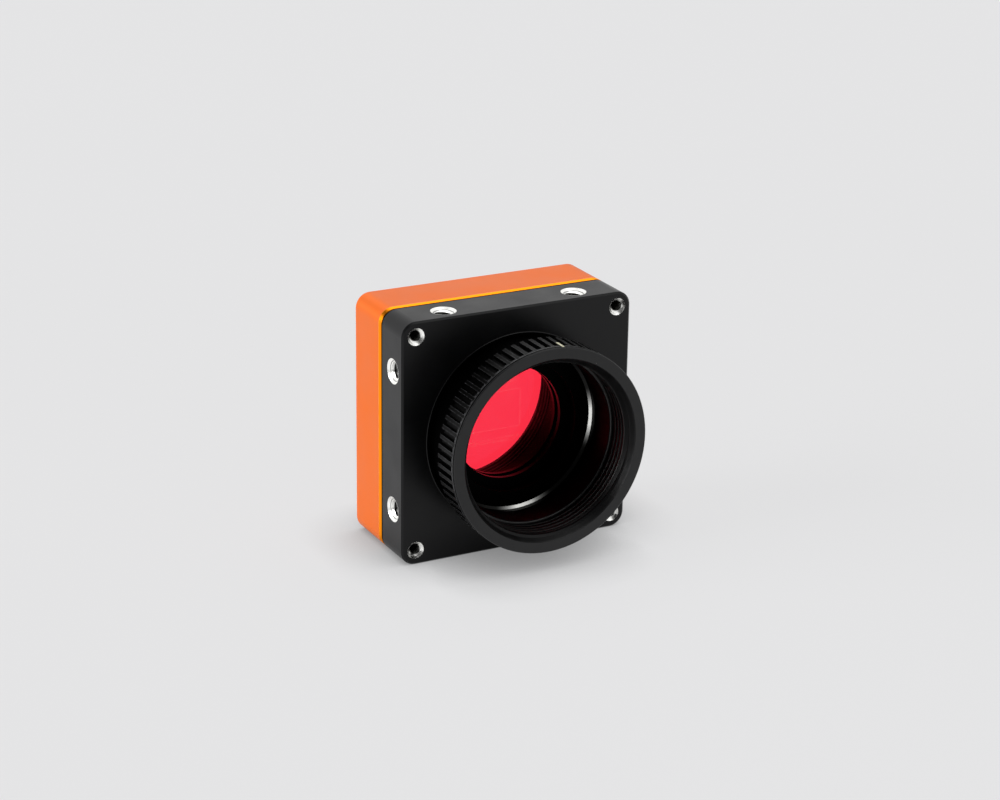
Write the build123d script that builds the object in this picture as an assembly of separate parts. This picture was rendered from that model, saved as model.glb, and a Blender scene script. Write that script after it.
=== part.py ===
from build123d import *
import os
from math import pi

# Industrial camera with a knurled lens-mount ring, millimetres.
# Everything is drawn about the optical axis: depth runs along +Y from the lens seating face,
# X is across and Z is up. The finished pieces are then stood on the underside of the body.

# Body
body_width = 35.0
corner_radius = 2.1
front_depth = 6.3
shell_wall = 1.9
back_wall = 1.6
front_edge_chamfer = 0.25
seam_groove_width = 0.14
seam_groove_depth = 0.2
shell_bevel_length = 1.1
shell_bevel_drop = 0.15
shell_edge_radius = 0.4

# Lens ring, drawn round the core of its thread
mount_core_radius = 12.27
mount_mouth_width = 0.83
mount_mouth_depth = 1.4
mount_shoulder = 0.43
mount_shoulder_chamfer = 0.15
ring_length = 5.0
ring_wall = 2.38
ring_seat_wall = 0.1
ring_neck_wall = 0.84
ring_neck_end_gap = 0.95
ring_edge_chamfer = 0.12
ring_seat_gap = 0.05
rim_thickness = 0.18
rim_groove_width = 0.27
rim_groove_depth = 0.35
rib_count = 68
rib_width = 0.52
rib_height = 0.6
rib_start = 0.85
rib_base_flare = 0.1
rib_turn = 1.3
index_rib = 1
index_width = 0.42
index_depth = 0.3
index_length = 1.9
index_paint_recess = 0.02

# Mount barrel on the front of the housing
barrel_bore_clearance = 0.04
barrel_wall = 0.48
barrel_step = 0.68
barrel_step_height = 0.12
barrel_step_chamfer = 0.07
barrel_thread_run_out = 0.4

# Filter stack, from the seam forwards and from the bore inwards
filter_to_seam = 1.8
filter_thickness = 1.0
gasket_thickness = 0.5
gasket_width = 1.6
holder_hub_length = 1.5
holder_flange = 0.6
holder_ledge = 0.4
holder_ledge_width = 0.67
holder_hub_inset = 1.67
holder_wall = 1.1
holder_opening_depth = 1.9
holder_lip = 1.39
holder_clearance = 0.05
filter_inset = 0.4
window_inset = 1.2
snap_width = 0.55
snap_thickness = 0.5
snap_bevel_width = 0.4
snap_bevel_depth = 0.27
snap_clearance = 0.02
snap_gap_angle = 16.0
snap_gap_place = 135.0

# Threaded holes: core radius and mouth radius
side_hole_core = 1.25
side_hole_mouth = 1.75
side_hole_depth = 4.0
side_hole_spacing = 20.0
side_hole_from_front = 2.8
corner_hole_core = 0.8
corner_hole_mouth = 1.22
drill_tip_ratio = 0.6

# Image sensor, placed by the flange distance of the lens mount
flange_distance = 17.526
sensor_behind_seam = 1.226
die_width = 11.4
die_height = 8.6
die_thickness = 0.674
side_shelf_width = 1.0
bond_shelf_width = 1.6
package_floor = 0.7
package_rim_rise = 0.526
package_rim = 1.3
die_margin = 0.25
bond_shelf_drop = 0.2
cover_glass_thickness = 0.55
cover_glass_inset = 0.6
sensor_clearance = 0.55
contact_thickness = 0.1
contact_count = 12
contact_width = 0.6
contact_length = 1.4
contact_pitch = 1.1
wire_count = 20
wire_pitch = 0.42
wire_width = 0.08
wire_height = 0.22

# Circuit boards
board_thickness = 1.0
board_gap = 1.2
board_clearance = 0.4
board_corner_cut = 4.6
board_screw_inset = 5.9
rear_room = 1.2
standoff_radius = 1.6
spacer_radius = 1.4
board_screw_radius = 0.78
board_screw_core = 0.6
board_screw_head = 1.3
board_screw_head_height = 0.75
board_screw_engagement = 1.5
screw_clearance = 0.1
thread_clearance = 0.02

# Screws that close the body
case_screw_radius = 0.98
case_screw_core = 0.78
case_screw_head = 1.5
case_screw_head_height = 1.0
case_screw_recess = 0.05
case_screw_engagement = 3.7
hex_key_width = 1.3
hex_key_depth = 0.6
pillar_size = 3.9
pillar_fillet = 0.8

# Data socket
data_socket_height = 7.6
wide_lobe_width = 6.9
narrow_lobe_width = 4.4
lobe_height = 1.85
lobe_gap = 0.55
lobe_neck_height = 1.0
lobe_chamfer = 0.55
socket_metal = 0.3
socket_sink = 1.0
socket_recess = 0.1
socket_clearance = 0.15
tongue_base = 1.3
tongue_thickness = 0.6
tongue_recess = 0.5
tongue_side_gap = 0.9
data_contact_count = 5
data_contact_width = 0.28
data_contact_thickness = 0.08
lock_hole_spacing = 19.0
lock_boss_radius = 1.9
lock_boss_gap = 0.3

# Signal socket
io_socket_drop = 8.6
io_width = 10.4
io_height = 4.0
io_wall = 0.7
io_base = 1.3
io_pin_count = 6
io_pin_pitch = 1.25
io_pin_width = 0.4
io_pin_recess = 1.2

# Parts on the boards
processor_size = 10.0
processor_height = 0.8
processor_place = -4.0
memory_width = 7.0
memory_length = 9.0
memory_height = 0.85
memory_place = 6.5
header_length = 10.0
header_width = 2.0
header_height = 0.8
receptacle_wall = 0.6
receptacle_height = 0.9
receptacle_clearance = 0.05
header_place = -6.0
inductor_size = 3.0
inductor_height = 0.9
inductor_place = -0.7
inductor_spacing = 5.0
crystal_width = 2.5
crystal_length = 2.0
crystal_height = 0.6
crystal_inset = 1.7
capacitor_count = 5
capacitor_width = 0.6
capacitor_length = 1.1
capacitor_height = 0.5
capacitor_pitch = 2.2
capacitor_gap = 2.6
led_width = 1.6
led_height = 0.5
led_place = 8.0
light_pipe_radius = 0.9
light_pipe_head = 1.4
light_pipe_head_height = 0.25
light_pipe_clearance = 0.05

# Depths from the lens seating face. The sensor plane sets the seam, and the seam sets the barrel's length.
half_width = body_width / 2
barrel_front = ring_length
seam = flange_distance - sensor_behind_seam
body_front = seam - front_depth
neck_end = body_front - ring_neck_end_gap
mount_thread_end = ring_length - ring_seat_wall
filter_seat = seam - filter_to_seam
filter_front = filter_seat - filter_thickness
gasket_front = filter_front - gasket_thickness
holder_seat = gasket_front - holder_hub_length
holder_ledge_front = holder_seat - holder_flange
holder_front = holder_ledge_front - holder_ledge
package_front = flange_distance - package_rim_rise
cover_glass_front = package_front - cover_glass_thickness
package_back = flange_distance + die_thickness + package_floor
sensor_board_front = package_back + contact_thickness
sensor_board_back = sensor_board_front + board_thickness
io_board_front = sensor_board_back + board_gap
io_board_back = io_board_front + board_thickness
back_wall_front = io_board_back + rear_room
body_back = back_wall_front + back_wall
total_depth = body_back

# Radii and places that follow from the sizes above
mount_mouth_radius = mount_core_radius + mount_mouth_width
ring_radius = mount_core_radius + ring_wall
ring_bore_radius = mount_core_radius - mount_shoulder
ring_neck_radius = ring_bore_radius + ring_neck_wall
barrel_bore_radius = ring_neck_radius + barrel_bore_clearance
barrel_radius = barrel_bore_radius + barrel_wall
barrel_step_radius = barrel_radius + barrel_step
holder_bore_radius = mount_core_radius
holder_boss_radius = holder_bore_radius - holder_ledge_width
holder_hub_radius = holder_bore_radius - holder_hub_inset
hub_bore_radius = holder_hub_radius + holder_clearance
holder_opening_radius = holder_hub_radius - holder_wall
filter_opening_radius = holder_opening_radius - holder_lip
filter_radius = holder_hub_radius - filter_inset
window_radius = filter_radius - window_inset
package_width = die_width + 2 * (side_shelf_width + package_rim)
package_height = die_height + 2 * (bond_shelf_width + package_rim)
crystal_place = crystal_inset - package_height / 2
capacitor_column = package_width / 2 + capacitor_gap
corner_place = half_width - corner_radius
board_half = half_width - shell_wall - board_clearance
board_screw_place = half_width - board_screw_inset
socket_front = io_board_front - socket_sink
socket_back = body_back - socket_recess
corner_signs = [(-1, -1), (1, -1), (-1, 1), (1, 1)]


def slab(outline, front, back):
    """Solid of a front-view outline between two depths."""
    return extrude(Plane.XZ.offset(-front) * outline, amount=front - back)


def turned(*profile):
    """Solid turned about the optical axis from (radius, depth) corners."""
    return revolve(make_face(Polyline(*profile, close=True)), axis=Axis.Y)


def at(x, z, outline):
    """A front-view outline moved across and up."""
    return Pos(x, z) * outline


def rod(radius, front, back, x=0, z=0):
    return slab(at(x, z, Circle(radius)), front, back)


def at_corners(place, outline):
    """The same front-view outline at the four corners of a square."""
    return [at(sx * place, sz * place, outline) for sx, sz in corner_signs]


def tapped_hole(core, mouth, depth):
    """Cutter for a blind threaded hole that enters along +Y, with its countersunk mouth."""
    tip = depth + core * drill_tip_ratio
    return turned((0, 0), (mouth, 0), (core, mouth - core), (core, depth), (0, tip))


def side_holes():
    """Two threaded holes in each of the four sides of the front housing."""
    hole = tapped_hole(side_hole_core, side_hole_mouth, side_hole_depth)
    depth = body_front + side_hole_from_front
    holes = []
    for side in range(4):
        turn = Rot(0, 90 * side, 0)
        for place in (-side_hole_spacing / 2, side_hole_spacing / 2):
            holes.append(turn * Pos(place, depth, half_width) * Rot(-90, 0, 0) * hole)
    return holes


def corner_holes():
    """Threaded holes right through the corners of the front housing."""
    cone = corner_hole_mouth - corner_hole_core
    cutter = turned(
        (0, 0),
        (corner_hole_mouth, 0),
        (corner_hole_core, cone),
        (corner_hole_core, front_depth),
        (0, front_depth),
    )
    return [Pos(sx * corner_place, body_front, sz * corner_place) * cutter for sx, sz in corner_signs]


def front_housing():
    """Square front block with the mount barrel turned on it and the filter bore through it."""
    groove_front = seam - seam_groove_width
    block = slab(RectangleRounded(body_width, body_width, corner_radius), body_front, groove_front)
    front_edges = block.faces().sort_by(Axis.Y)[0].edges()
    block = chamfer(front_edges, front_edge_chamfer)
    groove_width = body_width - 2 * seam_groove_depth
    groove_floor = RectangleRounded(groove_width, groove_width, corner_radius - seam_groove_depth)
    block += slab(groove_floor, groove_front, seam)
    step_front = body_front - barrel_step_height
    barrel_edge = barrel_radius - ring_edge_chamfer
    barrel = turned(
        (0, barrel_front),
        (barrel_edge, barrel_front),
        (barrel_radius, barrel_front + ring_edge_chamfer),
        (barrel_radius, step_front),
        (barrel_step_radius - barrel_step_chamfer, step_front),
        (barrel_step_radius, step_front + barrel_step_chamfer),
        (barrel_step_radius, body_front + front_edge_chamfer),
        (0, body_front + front_edge_chamfer),
    )
    thread_end = neck_end + barrel_thread_run_out
    bore = turned(
        (0, barrel_front),
        (barrel_bore_radius, barrel_front),
        (barrel_bore_radius, thread_end),
        (holder_bore_radius, thread_end),
        (holder_bore_radius, holder_seat),
        (hub_bore_radius, holder_seat),
        (hub_bore_radius, filter_seat),
        (window_radius, filter_seat),
        (window_radius, seam),
        (0, seam),
    )
    pocket_front = cover_glass_front - sensor_clearance
    pocket_width = package_width + 2 * sensor_clearance
    pocket_height = package_height + 2 * sensor_clearance
    sensor_pocket = slab(RectangleRounded(pocket_width, pocket_height, sensor_clearance), pocket_front, seam)
    screw_bottom = seam - board_screw_engagement - board_screw_core
    screw_core = Circle(board_screw_core + thread_clearance)
    board_holes = [slab(hole, screw_bottom, seam) for hole in at_corners(board_screw_place, screw_core)]
    return block + barrel - bore - sensor_pocket - board_holes - side_holes() - corner_holes()


def rib_slot():
    """Cutter for the space between two ribs, drawn at the top of the ring."""
    pitch = 360 / rib_count
    root_radius = ring_radius - rib_height
    half_tip = (2 * pi * ring_radius / rib_count - rib_width) / 2
    half_root = half_tip - rib_base_flare
    profile = Polyline(
        (-half_root, root_radius),
        (half_root, root_radius),
        (half_tip, ring_radius),
        (half_tip, ring_radius + rib_height),
        (-half_tip, ring_radius + rib_height),
        (-half_tip, ring_radius),
        close=True,
    )
    return Rot(0, rib_turn + pitch / 2, 0) * slab(make_face(profile), rib_start, ring_length)


def index_turn():
    """The turn from the top of the ring to the rib that carries the index line."""
    return Rot(0, rib_turn + index_rib * 360 / rib_count, 0)


def index_bar(top_radius):
    """Bar along the index rib, from the rim groove towards the housing."""
    start = rim_thickness + rim_groove_width
    low = ring_radius - index_depth
    outline = at(0, (low + top_radius) / 2, Rectangle(index_width, top_radius - low))
    return index_turn() * slab(outline, start, start + index_length)


def lens_ring():
    """Adapter ring: a ribbed grip with a female lens thread and a male neck behind."""
    shoulder = ring_length - ring_seat_gap
    groove_front = rim_thickness
    groove_back = rim_thickness + rim_groove_width
    groove_radius = ring_radius - rim_groove_depth
    body = turned(
        (mount_mouth_radius, 0),
        (ring_radius - ring_edge_chamfer, 0),
        (ring_radius, ring_edge_chamfer),
        (ring_radius, groove_front),
        (groove_radius, groove_front),
        (groove_radius, groove_back),
        (ring_radius, groove_back),
        (ring_radius, shoulder - ring_edge_chamfer),
        (ring_radius - ring_edge_chamfer, shoulder),
        (ring_neck_radius, shoulder),
        (ring_neck_radius, neck_end - ring_edge_chamfer),
        (ring_neck_radius - ring_edge_chamfer, neck_end),
        (ring_bore_radius, neck_end),
        (ring_bore_radius, mount_thread_end + mount_shoulder_chamfer),
        (ring_bore_radius + mount_shoulder_chamfer, mount_thread_end),
        (mount_core_radius, mount_thread_end),
        (mount_core_radius, mount_mouth_depth),
    )
    slot = rib_slot()
    slots = [Rot(0, index * 360 / rib_count, 0) * slot for index in range(rib_count)]
    return body - slots - index_bar(ring_radius + index_depth)


def index_mark():
    """Paint that fills the index line."""
    return index_bar(ring_radius - index_paint_recess)


def snap_ring():
    """Bevelled spring ring that holds the filter holder in the bore."""
    outer = holder_bore_radius - snap_clearance
    inner = outer - snap_width
    back = holder_ledge_front - snap_clearance
    front = back - snap_thickness
    section = Polyline(
        (inner, back),
        (inner, front + snap_bevel_depth),
        (inner + snap_bevel_width, front),
        (outer, front),
        (outer, back),
        close=True,
    )
    ring = revolve(make_face(section), axis=Axis.Y, revolution_arc=360 - snap_gap_angle)
    return Rot(0, -snap_gap_place - snap_gap_angle / 2, 0) * ring


def filter_holder():
    """Stepped black ring that clamps the filter against the housing."""
    rim = holder_bore_radius - holder_clearance
    lip_front = holder_front + holder_opening_depth
    return turned(
        (holder_opening_radius, holder_front),
        (holder_boss_radius, holder_front),
        (holder_boss_radius, holder_ledge_front),
        (rim, holder_ledge_front),
        (rim, holder_seat),
        (holder_hub_radius, holder_seat),
        (holder_hub_radius, gasket_front),
        (filter_opening_radius, gasket_front),
        (filter_opening_radius, lip_front),
        (holder_opening_radius, lip_front),
    )


def filter_gasket():
    opening = rod(filter_radius - gasket_width, gasket_front, filter_front)
    return rod(filter_radius, gasket_front, filter_front) - opening


def filter_glass():
    return rod(filter_radius, filter_front, filter_seat)


def sensor_package():
    """Ceramic carrier with a bonding shelf round the well for the die."""
    body = slab(Rectangle(package_width, package_height), package_front, package_back)
    shelf = flange_distance + bond_shelf_drop
    inside = Rectangle(package_width - 2 * package_rim, package_height - 2 * package_rim)
    well = Rectangle(die_width + 2 * die_margin, die_height + 2 * die_margin)
    return body - slab(inside, package_front, shelf) - slab(well, shelf, flange_distance + die_thickness)


def sensor_die():
    return slab(Rectangle(die_width, die_height), flange_distance, flange_distance + die_thickness)


def sensor_cover_glass():
    width = package_width - 2 * cover_glass_inset
    height = package_height - 2 * cover_glass_inset
    return slab(Rectangle(width, height), cover_glass_front, package_front)


def bond_wires():
    """Rows of looped wires from the die to the bonding shelf."""
    start = die_height / 2 - die_margin
    end = die_height / 2 + 2 * die_margin
    crown = flange_distance - wire_height
    shelf = flange_distance + bond_shelf_drop
    loop = Polyline(
        (flange_distance, start - wire_width),
        (crown, start),
        (crown, end - wire_width),
        (shelf, end),
        (shelf, end - wire_width),
        (crown + wire_width, end - 2 * wire_width),
        (crown + wire_width, start + wire_width),
        (flange_distance, start),
        close=True,
    )
    wire = extrude(Plane.YZ * make_face(loop), amount=wire_width)
    wires = []
    for index in range(wire_count):
        place = (index - (wire_count - 1) / 2) * wire_pitch
        wires.append(Pos(place - wire_width / 2, 0, 0) * wire)
        wires.append(Rot(0, 180, 0) * Pos(place - wire_width / 2, 0, 0) * wire)
    return Compound(children=wires)


def sensor_contacts():
    """Soldered pads under the sensor package."""
    pads = []
    row = (package_height - contact_length) / 2
    for side in (-1, 1):
        for index in range(contact_count):
            place = (index - (contact_count - 1) / 2) * contact_pitch
            pad = at(place, side * row, Rectangle(contact_width, contact_length))
            pads.append(slab(pad, package_back, sensor_board_front))
    return Compound(children=pads)


def board_outline():
    """Square board with its corners cut back from the case pillars."""
    square = Rectangle(2 * board_half, 2 * board_half)
    outline = chamfer(square.vertices(), board_corner_cut)
    for hole in at_corners(board_screw_place, Circle(board_screw_radius + screw_clearance)):
        outline -= hole
    return outline


def sensor_board():
    return slab(board_outline(), sensor_board_front, sensor_board_back)


def data_socket_outline(grow):
    """Two joined lobes of the data socket, grown by a margin on every side."""
    total = wide_lobe_width + lobe_gap + narrow_lobe_width
    wide_place = total / 2 - wide_lobe_width / 2
    narrow_place = narrow_lobe_width / 2 - total / 2
    wide = Rectangle(wide_lobe_width + 2 * grow, lobe_height + 2 * grow)
    wide = chamfer(wide.vertices().group_by(Axis.Y)[0], lobe_chamfer)
    narrow = Rectangle(narrow_lobe_width + 2 * grow, lobe_height + 2 * grow)
    neck = Rectangle(lobe_gap + wide_lobe_width / 2, lobe_neck_height + 2 * grow)
    neck_place = narrow_place + narrow_lobe_width / 2 + lobe_gap / 2
    whole = at(wide_place, 0, wide) + at(narrow_place, 0, narrow) + at(neck_place, 0, neck)
    return at(0, data_socket_height, whole)


def io_socket_outline(grow):
    return at(0, -io_socket_drop, Rectangle(io_width + 2 * grow, io_height + 2 * grow))


def interface_board():
    """Rear board, with cut-outs that the two sockets stand in."""
    outline = board_outline()
    outline -= data_socket_outline(socket_metal + socket_clearance)
    outline -= io_socket_outline(socket_clearance)
    return slab(outline, io_board_front, io_board_back)


def tubes(outer, front, back):
    """Spacing tubes round the four board screws."""
    wall = Circle(outer) - Circle(board_screw_radius + screw_clearance)
    return Compound(children=[slab(tube, front, back) for tube in at_corners(board_screw_place, wall)])


def board_screws():
    screws = []
    for sx, sz in corner_signs:
        x = sx * board_screw_place
        z = sz * board_screw_place
        head = rod(board_screw_head, io_board_back, io_board_back + board_screw_head_height, x, z)
        shank = rod(board_screw_radius, seam, io_board_back, x, z)
        core = rod(board_screw_core, seam - board_screw_engagement, seam, x, z)
        key = at(x, z, RegularPolygon(board_screw_head / 2, 6))
        key_end = io_board_back + board_screw_head_height / 2
        key_cut = slab(key, key_end, io_board_back + board_screw_head_height)
        screws.append(head + shank + core - key_cut)
    return Compound(children=screws)


def board_header():
    outline = at(header_place, 0, Rectangle(header_width, header_length))
    return slab(outline, sensor_board_back, sensor_board_back + header_height)


def board_receptacle():
    inner_width = header_width + 2 * receptacle_clearance
    inner_length = header_length + 2 * receptacle_clearance
    outer = Rectangle(inner_width + 2 * receptacle_wall, inner_length + 2 * receptacle_wall)
    mouth = io_board_front - receptacle_height
    body = slab(at(header_place, 0, outer), mouth, io_board_front)
    floor = sensor_board_back + header_height + receptacle_clearance
    return body - slab(at(header_place, 0, Rectangle(inner_width, inner_length)), mouth, floor)


def processor_chip():
    outline = at(processor_place, 0, Rectangle(processor_size, processor_size))
    return slab(outline, io_board_back, io_board_back + processor_height)


def thermal_pad():
    """Soft pad that fills the gap from the processor to the back wall."""
    outline = at(processor_place, 0, Rectangle(processor_size, processor_size))
    return slab(outline, io_board_back + processor_height, back_wall_front)


def memory_chip():
    outline = at(memory_place, 0, Rectangle(memory_width, memory_length))
    return slab(outline, io_board_front - memory_height, io_board_front)


def clock_crystal():
    outline = at(0, crystal_place, Rectangle(crystal_width, crystal_length))
    return slab(outline, sensor_board_back, sensor_board_back + crystal_height)


def power_inductors():
    coils = []
    for side in (-1, 1):
        square = RectangleRounded(inductor_size, inductor_size, inductor_size / 6)
        outline = at(inductor_place, side * inductor_spacing / 2, square)
        coils.append(slab(outline, io_board_front - inductor_height, io_board_front))
    return Compound(children=coils)


def capacitors():
    """Small capacitors in a column on each side of the sensor."""
    pieces = []
    for side in (-1, 1):
        for index in range(capacitor_count):
            place = (index - (capacitor_count - 1) / 2) * capacitor_pitch
            outline = at(side * capacitor_column, place, Rectangle(capacitor_width, capacitor_length))
            pieces.append(slab(outline, sensor_board_front - capacitor_height, sensor_board_front))
    return Compound(children=pieces)


def data_socket_shell():
    """Folded metal shell of the data socket."""
    return slab(data_socket_outline(socket_metal) - data_socket_outline(0), socket_front, socket_back)


def tongue_outlines():
    """Centres and widths of the two contact tongues."""
    total = wide_lobe_width + lobe_gap + narrow_lobe_width
    wide = (total / 2 - wide_lobe_width / 2, wide_lobe_width - 2 * tongue_side_gap)
    narrow = (narrow_lobe_width / 2 - total / 2, narrow_lobe_width - 2 * tongue_side_gap)
    return [wide, narrow]


def data_socket_tongue():
    """Insulator with one tongue in each lobe."""
    base_back = socket_front + tongue_base
    body = slab(data_socket_outline(0), socket_front, base_back)
    for place, width in tongue_outlines():
        tongue = at(place, data_socket_height, Rectangle(width, tongue_thickness))
        body += slab(tongue, base_back, socket_back - tongue_recess)
    return body


def data_socket_contacts():
    strips = []
    top = data_socket_height - tongue_thickness / 2 - data_contact_thickness / 2
    for place, width in tongue_outlines():
        pitch = width / data_contact_count
        for index in range(data_contact_count):
            x = place + (index - (data_contact_count - 1) / 2) * pitch
            strip = at(x, top, Rectangle(data_contact_width, data_contact_thickness))
            strips.append(slab(strip, socket_front + tongue_base, socket_back - 2 * tongue_recess))
    return Compound(children=strips)


def io_socket_shroud():
    """Open plastic box round the signal pins."""
    body = slab(io_socket_outline(0), socket_front, socket_back)
    return body - slab(io_socket_outline(-io_wall), socket_front + io_base, socket_back) - io_pin_solids()


def io_pin_solids():
    pins = []
    for index in range(io_pin_count):
        x = (index - (io_pin_count - 1) / 2) * io_pin_pitch
        pin = at(x, -io_socket_drop, Rectangle(io_pin_width, io_pin_width))
        pins.append(slab(pin, socket_front, socket_back - io_pin_recess))
    return pins


def io_socket_pins():
    return Compound(children=io_pin_solids())


def status_led():
    return slab(at(led_place, 0, Rectangle(led_width, led_width)), io_board_back, io_board_back + led_height)


def light_pipe():
    """Clear peg that carries the light through the back wall."""
    head_front = back_wall_front - light_pipe_head_height
    head = rod(light_pipe_head, head_front, back_wall_front, led_place)
    return head + rod(light_pipe_radius, back_wall_front, body_back - socket_recess, led_place)


def shell_blank():
    """Outside of the rear shell: bevelled at the seam and rounded at the back."""
    square = RectangleRounded(body_width, body_width, corner_radius)
    blank = slab(square, seam, body_back)
    blank = fillet(blank.faces().sort_by(Axis.Y)[-1].edges(), shell_edge_radius)
    rim = blank.faces().sort_by(Axis.Y)[0]
    return chamfer(rim.edges(), shell_bevel_length, shell_bevel_drop, reference=rim)


def rear_shell():
    """Shell with corner pillars, closed by the back wall that the sockets open through."""
    shell = shell_blank()
    inner = half_width - shell_wall
    hollow = Rectangle(2 * inner, 2 * inner)
    pillar_place = half_width - pillar_size / 2
    for pillar in at_corners(pillar_place, Rectangle(pillar_size, pillar_size)):
        hollow -= pillar
    hollow = fillet(hollow.vertices(), pillar_fillet)
    shell -= slab(hollow, seam, back_wall_front)
    for side in (-1, 1):
        place = side * lock_hole_spacing / 2
        boss_front = io_board_back + lock_boss_gap
        shell += rod(lock_boss_radius, boss_front, body_back - shell_edge_radius, place, data_socket_height)
    head_front = body_back - case_screw_head_height - 2 * case_screw_recess
    cuts = []
    for outline in at_corners(board_screw_place, Circle(board_screw_head + screw_clearance)):
        cuts.append(slab(outline, seam, io_board_back + board_screw_head_height + screw_clearance))
    for sx, sz in corner_signs:
        x = sx * corner_place
        z = sz * corner_place
        cuts.append(rod(case_screw_radius + screw_clearance, seam, head_front, x, z))
        cuts.append(rod(case_screw_head + screw_clearance, head_front, body_back, x, z))
    cone = corner_hole_mouth - corner_hole_core
    lock_length = body_back - io_board_back
    lock = turned(
        (0, 0),
        (corner_hole_mouth, 0),
        (corner_hole_core, cone),
        (corner_hole_core, lock_length),
        (0, lock_length),
    )
    for side in (-1, 1):
        place = side * lock_hole_spacing / 2
        cuts.append(Pos(place, body_back, data_socket_height) * Rot(180, 0, 0) * lock)
    cuts.append(slab(data_socket_outline(socket_metal + socket_clearance), io_board_back, body_back))
    cuts.append(slab(io_socket_outline(socket_clearance), back_wall_front, body_back))
    cuts.append(rod(light_pipe_radius + light_pipe_clearance, back_wall_front, body_back, led_place))
    return shell - cuts


def assembly_screws():
    """Screws from the back into the threaded corners of the front housing."""
    screws = []
    head_back = body_back - case_screw_recess
    head_front = head_back - case_screw_head_height
    for sx, sz in corner_signs:
        x = sx * corner_place
        z = sz * corner_place
        head = rod(case_screw_head, head_front, head_back, x, z)
        shank = rod(case_screw_radius, seam, head_front, x, z)
        core = rod(case_screw_core, seam - case_screw_engagement, seam, x, z)
        hexagon = at(x, z, RegularPolygon(hex_key_width / 2, 6, major_radius=False))
        key = slab(hexagon, head_back - hex_key_depth, head_back)
        screws.append(head + shank + core - key)
    return Compound(children=screws)


pieces = {
    "front_housing": front_housing(),
    "lens_ring": lens_ring(),
    "index_mark": index_mark(),
    "snap_ring": snap_ring(),
    "filter_holder": filter_holder(),
    "filter_gasket": filter_gasket(),
    "filter_glass": filter_glass(),
    "sensor_package": sensor_package(),
    "sensor_die": sensor_die(),
    "sensor_cover_glass": sensor_cover_glass(),
    "bond_wires": bond_wires(),
    "sensor_contacts": sensor_contacts(),
    "sensor_board": sensor_board(),
    "capacitors": capacitors(),
    "clock_crystal": clock_crystal(),
    "board_standoffs": tubes(standoff_radius, seam, sensor_board_front),
    "board_spacers": tubes(spacer_radius, sensor_board_back, io_board_front),
    "board_screws": board_screws(),
    "board_header": board_header(),
    "board_receptacle": board_receptacle(),
    "interface_board": interface_board(),
    "processor_chip": processor_chip(),
    "thermal_pad": thermal_pad(),
    "memory_chip": memory_chip(),
    "power_inductors": power_inductors(),
    "data_socket_shell": data_socket_shell(),
    "data_socket_tongue": data_socket_tongue(),
    "data_socket_contacts": data_socket_contacts(),
    "io_socket_shroud": io_socket_shroud(),
    "io_socket_pins": io_socket_pins(),
    "status_led": status_led(),
    "light_pipe": light_pipe(),
    "rear_shell": rear_shell(),
    "assembly_screws": assembly_screws(),
}

os.makedirs("parts", exist_ok=True)
stand = Pos(0, -total_depth / 2, half_width)
for name, piece in pieces.items():
    export_step(stand * piece, f"parts/{name}.step")
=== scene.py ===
import math

import bmesh
import bpy
from mathutils import Matrix, Vector


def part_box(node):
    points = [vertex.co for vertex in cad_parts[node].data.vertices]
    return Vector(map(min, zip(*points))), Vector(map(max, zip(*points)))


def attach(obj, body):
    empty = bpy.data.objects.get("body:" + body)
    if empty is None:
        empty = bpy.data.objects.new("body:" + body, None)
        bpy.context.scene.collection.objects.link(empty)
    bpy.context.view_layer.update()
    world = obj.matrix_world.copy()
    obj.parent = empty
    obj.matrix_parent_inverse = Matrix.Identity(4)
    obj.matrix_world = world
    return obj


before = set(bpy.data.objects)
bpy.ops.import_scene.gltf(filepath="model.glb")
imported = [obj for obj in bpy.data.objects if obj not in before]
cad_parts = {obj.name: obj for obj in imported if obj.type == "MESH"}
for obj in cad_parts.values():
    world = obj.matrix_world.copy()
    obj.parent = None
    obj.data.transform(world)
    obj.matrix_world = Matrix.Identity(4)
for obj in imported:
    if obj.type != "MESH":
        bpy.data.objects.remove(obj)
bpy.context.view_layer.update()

bl_info = {
    "name": "Industrial camera",
    "version": (1, 0, 0),
    "blender": (4, 5, 0),
    "location": "View3D > Sidebar > Industrial camera",
    "description": "Threads, finishes and studio stage for a small industrial camera body",
    "category": "Object",
}

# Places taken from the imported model, in metres
MILLIMETRE = 0.001
housing_low, housing_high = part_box("front_housing")
ring_low, ring_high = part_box("lens_ring")
shell_low, shell_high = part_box("rear_shell")
HALF_WIDTH = (housing_high.x - housing_low.x) / 2
AXIS_HEIGHT = (housing_high.z + housing_low.z) / 2
SEAT_FACE = ring_low.y
FRONT_FACE = SEAT_FACE + 10 * MILLIMETRE
SEAM = shell_low.y
BACK_FACE = shell_high.y
RIB_TOP = (ring_high.x - ring_low.x) / 2

# Bounds between surfaces of the housing and the shell that get different finishes or painted shade
SEAM_GROOVE = 0.15 * MILLIMETRE
SHELL_BEVEL = 1.08 * MILLIMETRE
BEVEL_REACH = 1.2 * MILLIMETRE
BARREL_REACH = 13.75 * MILLIMETRE
FILTER_BORE_REACH = 12.9 * MILLIMETRE
SIDE_HOLE_REACH = 5 * MILLIMETRE

# Bounds between surfaces of the lens ring that get different finishes, painted shade or a painted highlight:
# radii, and depths behind its face
RING_MOUTH = 13.08 * MILLIMETRE
RING_BORE_REACH = 12.95 * MILLIMETRE
THREAD_CREST = 12.19 * MILLIMETRE
CONE_END = 1.3 * MILLIMETRE
CREST_END = 4.95 * MILLIMETRE
RIB_ROOT = RIB_TOP - 0.7 * MILLIMETRE
RIB_START = 0.6 * MILLIMETRE

# Ribs of the lens ring, and how far round the first one stands
RIBS = 68
RIB_TURN = math.radians(1.3)

# Facets in one turn of a thread's ridge
LENS_FACETS = 144
SIDE_FACETS = 40
CORNER_FACETS = 32

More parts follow.
